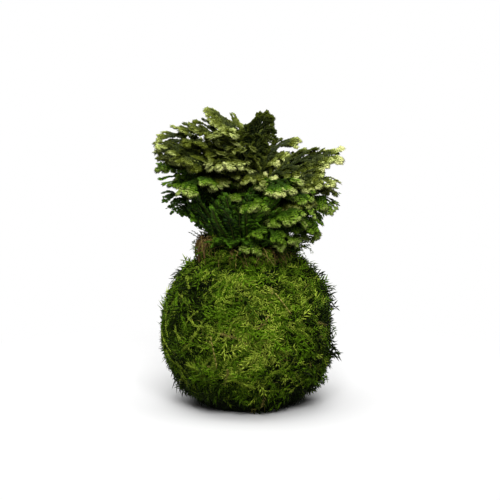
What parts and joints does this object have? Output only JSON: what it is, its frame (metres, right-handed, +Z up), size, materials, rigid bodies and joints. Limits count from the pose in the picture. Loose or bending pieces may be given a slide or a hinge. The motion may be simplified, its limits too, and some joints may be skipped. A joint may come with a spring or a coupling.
{
  "type": "kokedama moss ball plant",
  "caption": "Ball of soil wrapped in feathery sheet moss and bound with thread, planted with a frosted spikemoss whose layered fronds fan out above the neck.",
  "frame": {"origin": "centre of the flat underside of the moss ball", "axes": "+Z up through the neck and the plant, front of the plant towards -Y, its right-hand side (seen from the front) towards +X"},
  "size_m": [0.1296, 0.1227, 0.2117],
  "materials": {
    "moss": "living sheet moss, matte, yellow-green strands over olive shade",
    "soil": "moist clay and peat mix, matte",
    "roots": "matted roots and compost, matte",
    "thread": "thin dark green binding thread",
    "stem": "fresh straw-green plant stem, satin",
    "withered": "dry brown stalk, matte",
    "leaf_deep": "fresh scale leaves, deep green, soft satin",
    "leaf_frosted": "fresh scale leaves, olive green with cream frosted tips, soft satin"
  },
  "bodies": {
    "root": {"moss_wrap": "moss", "soil_core": "soil", "root_plug": "roots", "binding_thread": "thread", "stem_01": "stem", "frond_01": "leaf_deep", "stem_02": "stem", "frond_02": "leaf_deep", "stem_03": "stem", "frond_03": "leaf_deep", "stem_04": "stem", "frond_04": "leaf_deep", "stem_05": "stem", "frond_05": "leaf_deep", "stem_06": "stem", "frond_06": "leaf_deep", "stem_07": "stem", "frond_07": "leaf_deep", "stem_08": "stem", "frond_08": "leaf_deep", "stem_09": "stem", "frond_09": "leaf_deep", "stem_10": "stem", "frond_10": "leaf_frosted", "stem_11": "stem", "frond_11": "leaf_frosted", "stem_12": "stem", "frond_12": "leaf_frosted", "stem_13": "stem", "frond_13": "leaf_frosted", "stem_14": "stem", "frond_14": "leaf_frosted", "stem_15": "stem", "frond_15": "leaf_frosted", "stem_16": "stem", "frond_16": "leaf_frosted", "stem_17": "stem", "frond_17": "leaf_frosted", "stem_18": "stem", "frond_18": "leaf_frosted", "stem_19": "stem", "frond_19": "leaf_frosted", "stem_20": "stem", "frond_20": "leaf_frosted", "stem_21": "stem", "frond_21": "leaf_frosted", "stem_22": "stem", "frond_22": "leaf_frosted", "stem_23": "stem", "frond_23": "leaf_frosted", "stem_24": "stem", "frond_24": "leaf_frosted", "stem_25": "stem", "frond_25": "leaf_frosted", "stem_26": "stem", "frond_26": "leaf_frosted", "withered_stem_1": "withered", "withered_stem_2": "withered", "withered_stem_3": "withered"}
  },
  "joints": []
}
